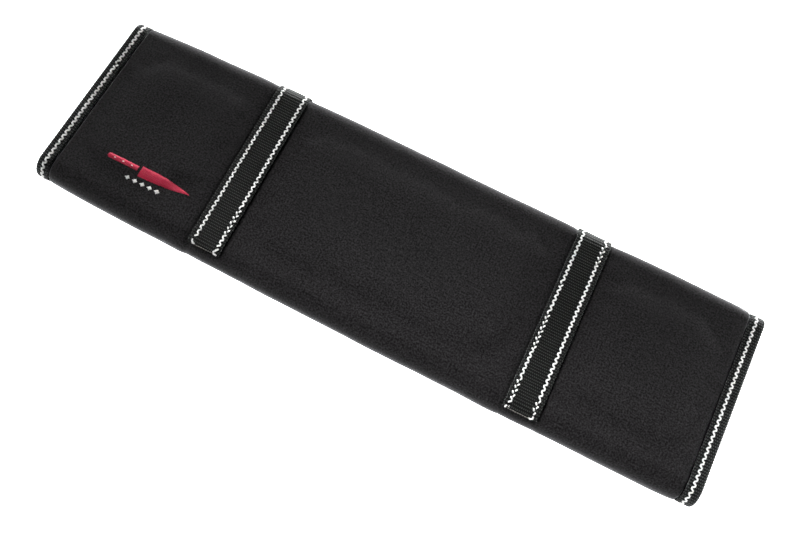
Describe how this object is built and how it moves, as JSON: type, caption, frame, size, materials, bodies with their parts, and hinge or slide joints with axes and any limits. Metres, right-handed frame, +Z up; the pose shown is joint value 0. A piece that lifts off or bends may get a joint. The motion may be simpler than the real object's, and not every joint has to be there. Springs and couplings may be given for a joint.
{
  "type": "chef knife roll",
  "caption": "Closed padded knife roll lying flat: a cloth sheet folded round a flat hollow, with bound ends and closure straps across it.",
  "frame": {"origin": "on the surface that the roll lies on, under the middle of its bounding box", "axes": "+X along the roll, +Y from the front fold to the rear fold where the straps come round, +Z up"},
  "size_m": [0.4826, 0.1396, 0.0235],
  "materials": {
    "cover_cloth": "fine matt black woven nylon",
    "binding_webbing": "ribbed black webbing with white zigzag stitching",
    "strap_webbing": "ribbed black webbing with white zigzag stitching"
  },
  "bodies": {
    "root": {"roll_cover": "cover_cloth", "left_binding": "binding_webbing", "right_binding": "binding_webbing", "left_strap": "strap_webbing", "right_strap": "strap_webbing"}
  },
  "joints": []
}
